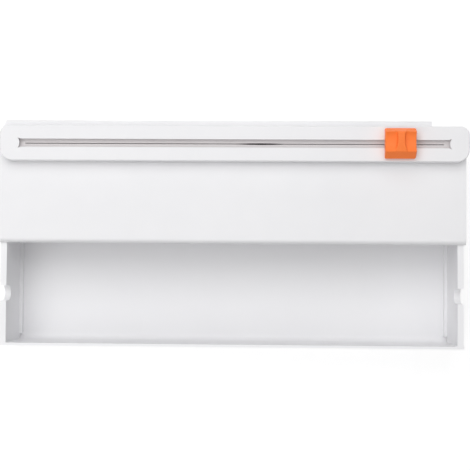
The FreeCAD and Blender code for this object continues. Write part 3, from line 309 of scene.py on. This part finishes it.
@dataclass(frozen=True)
class DrawnMetal:
    """Steel with fine lines and slight stains. Scales are waves per metre."""

    name: str
    colour: Colour
    stain: Colour
    roughness: float = 0.28
    line_scale: float = 9000.0
    line_stretch: Triple = (0.04, 1.0, 1.0)
    line_share: float = 0.16
    line_height: float = 0.01 * MM
    line_depth: float = 0.25
    stain_scale: float = 420.0
    stain_share: float = 0.1
    stain_stops: tuple[float, float] = (0.3, 0.6)

    def material(self) -> bpy.types.Material:
        """Build the material.

        Returns:
            The material.
        """
        graph = Graph(self.name)
        lines = graph.noise(self.line_scale, detail=2, stretch=self.line_stretch)
        spots = graph.noise(self.stain_scale, detail=4)
        stained, clean = self.stain_stops
        graph.feed(
            Base_Color=graph.ramp(spots, [(stained, self.stain), (clean, self.colour)]),
            Metallic=1.0,
            Roughness=lines * self.line_share + spots * self.stain_share + self.roughness,
            Normal=graph.bump(lines, self.line_height, self.line_depth),
        )
        return graph.material


@dataclass(frozen=True)
class SoftRubber:
    """Matt rubber with a dusty bloom and a pitted skin. Scales are waves per metre."""

    name: str
    colour: Colour
    bloom: Colour
    roughness: float = 0.7
    dust_scale: float = 120.0
    dust_share: float = 0.2
    dust_stops: tuple[float, float] = (0.4, 0.75)
    pit_scale: float = 3000.0
    pit_height: float = 0.06 * MM
    pit_depth: float = 0.35

    def material(self) -> bpy.types.Material:
        """Build the material.

        Returns:
            The material.
        """
        graph = Graph(self.name)
        dust = graph.noise(self.dust_scale, detail=5)
        pits = graph.noise(self.pit_scale, detail=2)
        bare, dusty = self.dust_stops
        graph.feed(
            Base_Color=graph.ramp(dust, [(bare, self.colour), (dusty, self.bloom)]),
            Roughness=dust * self.dust_share + self.roughness,
            Normal=graph.bump(pits, self.pit_height, self.pit_depth),
        )
        return graph.material


@dataclass(frozen=True)
class StudioPaper:
    """Pale paper, lit through from below so that it stays white."""

    name: str = "studio_paper"
    level: float = 0.5
    mottle: float = 0.985
    glow: float = 0.64
    roughness: float = 0.9
    fibre_scale: float = 30.0
    fibre_stops: tuple[float, float] = (0.3, 0.7)

    def material(self) -> bpy.types.Material:
        """Build the material.

        Returns:
            The material.
        """
        graph = Graph(self.name)
        fibre = graph.noise(self.fibre_scale, detail=3)
        dull, bright = self.fibre_stops
        stops = [(dull, grey(self.level * self.mottle)), (bright, grey(self.level))]
        graph.feed(
            Base_Color=graph.ramp(fibre, stops),
            Roughness=self.roughness,
            Emission_Color=grey(1.0),
            Emission_Strength=self.glow,
        )
        return graph.material


class Finish(Enum):
    """The finishes of the cutter."""

    SHELL = MouldedPlastic("white_shell", (0.925, 0.922, 0.938, 1), (0.905, 0.903, 0.92, 1), scratch=0.7)
    # The tray's white is lighter than the shell's to lift the shaded inside of the tray: painted light
    TRAY = MouldedPlastic("white_tray_brightened_as_painted_light", (0.95, 0.948, 0.962, 1), (0.935, 0.933, 0.95, 1), scratch=0.8)
    # The track gets a greyer white than the shell, painted shade for the shadow that falls in the slot
    TRACK = MouldedPlastic("white_track_with_painted_slot_shade", (0.78, 0.745, 0.75, 1), (0.755, 0.72, 0.725, 1), scratch=0.9)
    GRIP = MouldedPlastic(
        "orange_grip",
        (0.98, 0.225, 0.045, 1),
        (0.96, 0.2, 0.036, 1),
        roughness=0.45,
        gloss=0.3,
        # A faint orange glow painted into the cap so that its shaded front slope reads brighter: painted
        # light
        painted_glow=0.09,
        grain=0.1,
    )
    STRIP = MouldedPlastic(
        "black_strip", (0.02, 0.02, 0.02, 1), (0.012, 0.012, 0.012, 1), roughness=0.5, scratch=0.9
    )
    SLIDER = MouldedPlastic("white_slider", (0.8, 0.79, 0.76, 1), (0.76, 0.75, 0.72, 1), roughness=0.45)
    FEET = SoftRubber("grey_rubber", (0.05, 0.05, 0.052, 1), (0.12, 0.12, 0.12, 1))
    ZINC = DrawnMetal("zinc_steel", (0.72, 0.72, 0.73, 1), (0.6, 0.6, 0.6, 1))
    WIRE = DrawnMetal(
        "spring_steel", (0.55, 0.55, 0.57, 1), (0.42, 0.42, 0.43, 1), roughness=0.22, line_stretch=(1, 1, 1)
    )
    BLADE = DrawnMetal(
        "blade_steel",
        (0.78, 0.79, 0.81, 1),
        (0.66, 0.66, 0.67, 1),
        roughness=0.2,
        line_stretch=(1.0, 1.0, 0.03),
    )

    def material(self) -> bpy.types.Material:
        """The finish's material, made once."""
        return bpy.data.materials.get("look_" + self.name) or self._made()

    def _made(self) -> bpy.types.Material:
        """Make the material and name it."""
        made = self.value.material()
        made.name = "look_" + self.name
        return made


def dress(node: str, finish: Finish) -> None:
    """Give a CAD node its finish.

    Args:
        node: The node's name.
        finish: Its finish.
    """
    mesh = frame["nodes"][node].data
    mesh.materials.clear()
    mesh.materials.append(finish.material())
    LOG.info("dressed %s", node)


@dataclass(frozen=True)
class StandIn:
    """What a modelled piece is called, which CAD node it stands for and what it rides on."""

    node: str
    piece: str
    body: str
    slot: str
    finish: Finish

    def merged(self) -> bmesh.types.BMesh:
        """A copy of the CAD node's mesh with its loose triangles joined."""
        shape = bmesh.new()
        shape.from_mesh(frame["nodes"][self.node].data)
        bmesh.ops.remove_doubles(shape, verts=shape.verts, dist=SAME_POINT)
        return shape

    def place(self, shape: bmesh.types.BMesh) -> bpy.types.Object:
        """Make the piece from its finished shape and let it stand for its node.

        Args:
            shape: The shape, which is freed.

        Returns:
            The new object.
        """
        mesh = bpy.data.meshes.new(self.piece)
        shape.to_mesh(mesh)
        shape.free()
        mesh.shade_smooth()
        mesh.materials.append(self.finish.material())
        piece = bpy.data.objects.new(self.piece, mesh)
        bpy.context.scene.collection.objects.link(piece)
        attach(piece, self.body)
        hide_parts(self.node)
        LOG.info("built %s with %d faces", self.piece, len(mesh.polygons))
        return piece


@dataclass
class SoftEdges:
    """A copy of a CAD node whose hard edges are rounded as a mould rounds them."""

    stand_in: StandIn
    width: float
    segments: int = 3
    shortest: float = 1.2 * MM
    steepest: float = math.radians(28)

    def build(self) -> None:
        """Build the piece."""
        shape = self.stand_in.merged()
        bmesh.ops.dissolve_limit(
            shape, angle_limit=FLAT, verts=shape.verts, edges=shape.edges, use_dissolve_boundaries=False
        )
        bmesh.ops.bevel(
            shape,
            geom=[edge for edge in shape.edges if self._hard(edge)],
            offset=self.width,
            offset_type="OFFSET",
            segments=self.segments,
            profile=0.5,
            affect="EDGES",
            material=-1,
            clamp_overlap=True,
            miter_outer="SHARP",
        )
        piece = self.stand_in.place(shape)
        piece.data.set_sharp_from_angle(angle=CREASE)
        weighting = piece.modifiers.new("flat_faces_stay_flat", "WEIGHTED_NORMAL")
        weighting.keep_sharp = True

    def _hard(self, edge: bmesh.types.BMEdge) -> bool:
        """Whether an edge is hard and long enough to round.

        Args:
            edge: The edge.

        Returns:
            True for an edge to round.
        """
        if len(edge.link_faces) != 2 or edge.calc_length() < self.shortest:
            return False
        return edge.calc_face_angle(0.0) > self.steepest


@dataclass
class WornEdges:
    """A copy of a CAD node that is melted slightly, so that every edge, in or out, is round."""

    stand_in: StandIn
    cell: float
    passes: int = 6
    pull: float = 0.5

    def build(self) -> None:
        """Build the piece."""
        shape = self._celled()
        for _ in range(self.passes):
            bmesh.ops.smooth_vert(
                shape, verts=shape.verts, factor=self.pull, use_axis_x=True, use_axis_y=True, use_axis_z=True
            )
        self.stand_in.place(shape)

    def _celled(self) -> bmesh.types.BMesh:
        """Divide the node's surface into small even faces.

        Returns:
            The divided shape.
        """
        shape = self.stand_in.merged()
        rough = bpy.data.meshes.new(self.stand_in.piece + "_rough")
        shape.to_mesh(rough)
        shape.clear()
        block = bpy.data.objects.new(rough.name, rough)
        bpy.context.scene.collection.objects.link(block)
        cells = block.modifiers.new("cells", "REMESH")
        cells.mode = "VOXEL"
        cells.voxel_size = self.cell
        depsgraph = bpy.context.evaluated_depsgraph_get()
        shape.from_mesh(block.evaluated_get(depsgraph).to_mesh())
        bpy.data.objects.remove(block)
        return shape


@dataclass
class Tray:
    """The open tray with its end plates and feet."""

    wall_round: float = 0.45 * MM
    plate_round: float = 0.35 * MM

    def build(self) -> None:
        """Dress the tray and soften its edges."""
        self._shell("body_tray", "tray_shell", self.wall_round)
        for side in ("left", "right"):
            self._shell(side + "_end_plate", side + "_end_shell", self.plate_round)
        dress("rubber_feet", Finish.FEET)
        dress("end_plate_screws", Finish.ZINC)

    @staticmethod
    def _shell(node: str, piece: str, width: float) -> None:
        """Soften the edges of one moulding.

        Args:
            node: Its CAD node.
            piece: The piece's name.
            width: The width of the rounding.
        """
        # The tray's finish is a lighter white that paints light into the tray's shaded inside
        SoftEdges(StandIn(node, piece, "base", "white_shell", Finish.TRAY), width).build()


@dataclass
class Deck:
    """The deck with its strip and its hinge."""

    edge_round: float = 0.4 * MM

    def build(self) -> None:
        """Dress the deck and soften its edges."""
        shell = StandIn("deck_cover", "deck_shell", "base", "white_shell", Finish.SHELL)
        SoftEdges(shell, self.edge_round).build()
        dress("cutting_strip", Finish.STRIP)
        for node in ("deck_screws", "hinge_bracket", "hinge_screws", "locating_peg"):
            dress(node, Finish.ZINC)


@dataclass
class Rail:
    """The slotted rail."""

    edge_round: float = 0.3 * MM

    def build(self) -> None:
        """Dress the rail and soften its edges."""
        shell = StandIn("rail_cover", "rail_shell", "rail", "white_shell", Finish.SHELL)
        SoftEdges(shell, self.edge_round).build()
        # The track's greyed white paints the slot's shade into its colour
        dress("rail_base", Finish.TRACK)
        dress("rail_screws", Finish.ZINC)
        dress("hinge_pin", Finish.ZINC)


@dataclass
class Carriage:
    """The sliding carriage with the two coil springs that lift the cap."""

    plate_round: float = 0.3 * MM
    plate_segments: int = 2
    spring_places: tuple[tuple[float, float], ...] = ((125.4 * MM, 66.6 * MM), (139.2 * MM, 75.8 * MM))
    spring_outside: float = 4.0 * MM
    spring_wire: float = 0.5 * MM
    spring_turns: int = 3
    steps_a_turn: int = 28
    wire_sides: int = 10

    def build(self) -> None:
        """Dress the carriage, soften its plate and wind its springs."""
        dress("carriage_shoe", Finish.SLIDER)
        plate = StandIn("carriage_plate", "plate_shell", "carriage", "orange_grip", Finish.GRIP)
        SoftEdges(plate, self.plate_round, self.plate_segments).build()
        self._springs()

    def _springs(self) -> None:
        """Wind both springs of round wire."""
        low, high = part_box("press_springs")
        height = high[2] - low[2]
        shape = bmesh.new()
        for place in self.spring_places:
            foot = Vector((*place, low[2] + self.spring_wire / 2))
            self._coil(shape, foot, height - self.spring_wire)
        bmesh.ops.recalc_face_normals(shape, faces=shape.faces)
        springs = StandIn("press_springs", "wound_springs", "carriage", "spring_steel", Finish.WIRE)
        piece = springs.place(shape)
        travel = next(joint["range_m"][1] for joint in frame["joints"] if joint["name"] == "cutter_press")
        keep = 1.0 - travel / height
        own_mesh(piece)

    def _coil(self, shape: bmesh.types.BMesh, foot: Vector, rise: float) -> None:
        """Wind one spring.

        Args:
            shape: The mesh that it is added to.
            foot: The point on the spring's axis level with the wire's start.
            rise: How far the wire climbs.
        """
        radius = (self.spring_outside - self.spring_wire) / 2
        upright = Matrix.Rotation(math.radians(90), 4, "X")
        wire_end = bmesh.ops.create_circle(
            shape,
            cap_ends=True,
            segments=self.wire_sides,
            radius=self.spring_wire / 2,
            matrix=Matrix.Translation(foot + Vector((radius, 0, 0))) @ upright,
        )
        steps = self.spring_turns * self.steps_a_turn
        bmesh.ops.spin(
            shape,
            geom=list({face for vert in wire_end["verts"] for face in vert.link_faces}),
            cent=foot,
            axis=(0, 0, 1),
            dvec=(0, 0, rise / steps),
            angle=self.spring_turns * math.tau,
            steps=steps,
            use_merge=False,
            use_duplicate=False,
        )


@dataclass
class CutterHead:
    """The orange cap with its blade."""

    cell: float = 0.19 * MM

    def build(self) -> None:
        """Dress the head and round the cap's edges."""
        cap = StandIn("cutter_cap", "cap_grip", "cutter_head", "orange_grip", Finish.GRIP)
        WornEdges(cap, self.cell).build()
        dress("blade_holder", Finish.SLIDER)
        dress("blade", Finish.BLADE)
        dress("blade_rivet", Finish.ZINC)


@dataclass(frozen=True)
class Softbox:
    """A square light that looks at the cutter."""

    name: str
    place: Triple
    side: float
    watts: float

    def hang(self) -> None:
        """Hang the light."""
        lamp = bpy.data.lights.new(self.name, "AREA")
        lamp.size = self.side
        lamp.energy = self.watts
        held = bpy.data.objects.new(self.name, lamp)
        held.location = self.place
        held.rotation_euler = (-Vector(self.place)).to_track_quat("-Z", "Y").to_euler()
        bpy.context.scene.collection.objects.link(held)


@dataclass
class Studio:
    """Pale floor, soft light and the camera of the photograph. Lengths are metres, angles degrees."""

    floor_size: float = 8.0
    floor_squares: int = 4
    softboxes: tuple[Softbox, ...] = (
        Softbox("rear_softbox", (-0.2, 0.75, 1.05), 1.1, 5.6),
        Softbox("overhead_softbox", (0.0, 0.3, 1.6), 3.0, 19.6),
        Softbox("front_softbox", (-0.5, -0.6, 1.0), 1.2, 4.1),
    )
    air: float = 0.16
    camera_place: Triple = (0.02513, -0.02847, 0.85276)
    camera_turn: Triple = (2.004, 1.558, 0.422)
    focal_pixels: float = 1001.8
    frame_pixels: float = 470.0
    sensor_width_mm: float = 36.0
    nearest: float = 0.01
    farthest: float = 50.0

    def build(self) -> None:
        """Build the floor, the lights and the camera."""
        self._floor()
        for softbox in self.softboxes:
            softbox.hang()
        self._air()
        self._camera()
        bpy.context.scene.view_settings.view_transform = "Standard"

    def _floor(self) -> None:
        """Lay the floor."""
        shape = bmesh.new()
        squares = self.floor_squares
        bmesh.ops.create_grid(shape, x_segments=squares, y_segments=squares, size=self.floor_size / 2)
        mesh = bpy.data.meshes.new("studio_floor")
        shape.to_mesh(mesh)
        shape.free()
        floor = bpy.data.objects.new("studio_floor", mesh)
        bpy.context.scene.collection.objects.link(floor)
        mesh.materials.append(StudioPaper().material())

    def _air(self) -> None:
        """Fill the studio with faint even light."""
        world = bpy.data.worlds.new("studio_air")
        world.use_nodes = True
        background = world.node_tree.nodes["Background"]
        background.inputs["Color"].default_value = grey(1.0)
        background.inputs["Strength"].default_value = self.air
        bpy.context.scene.world = world

    def _camera(self) -> None:
        """Set the camera where the photograph was taken."""
        lens = bpy.data.cameras.new("photo_camera")
        lens.sensor_fit = "HORIZONTAL"
        lens.sensor_width = self.sensor_width_mm
        lens.lens = self.focal_pixels / self.frame_pixels * self.sensor_width_mm
        lens.clip_start = self.nearest
        lens.clip_end = self.farthest
        camera = bpy.data.objects.new("photo_camera", lens)
        camera.location = self.camera_place
        camera.rotation_euler = Euler([math.radians(angle) for angle in self.camera_turn], "XYZ")
        bpy.context.scene.collection.objects.link(camera)
        bpy.context.scene.camera = camera


def main() -> None:
    """Build the cutter's looks and the studio."""
    logging.basicConfig(level=logging.INFO, format="%(name)s: %(message)s")
    for assembly in (Tray(), Deck(), Rail(), Carriage(), CutterHead(), Studio()):
        assembly.build()
        LOG.info("finished %s", type(assembly).__name__)
    bpy.context.view_layer.update()


if __name__ == "__main__":
    main()
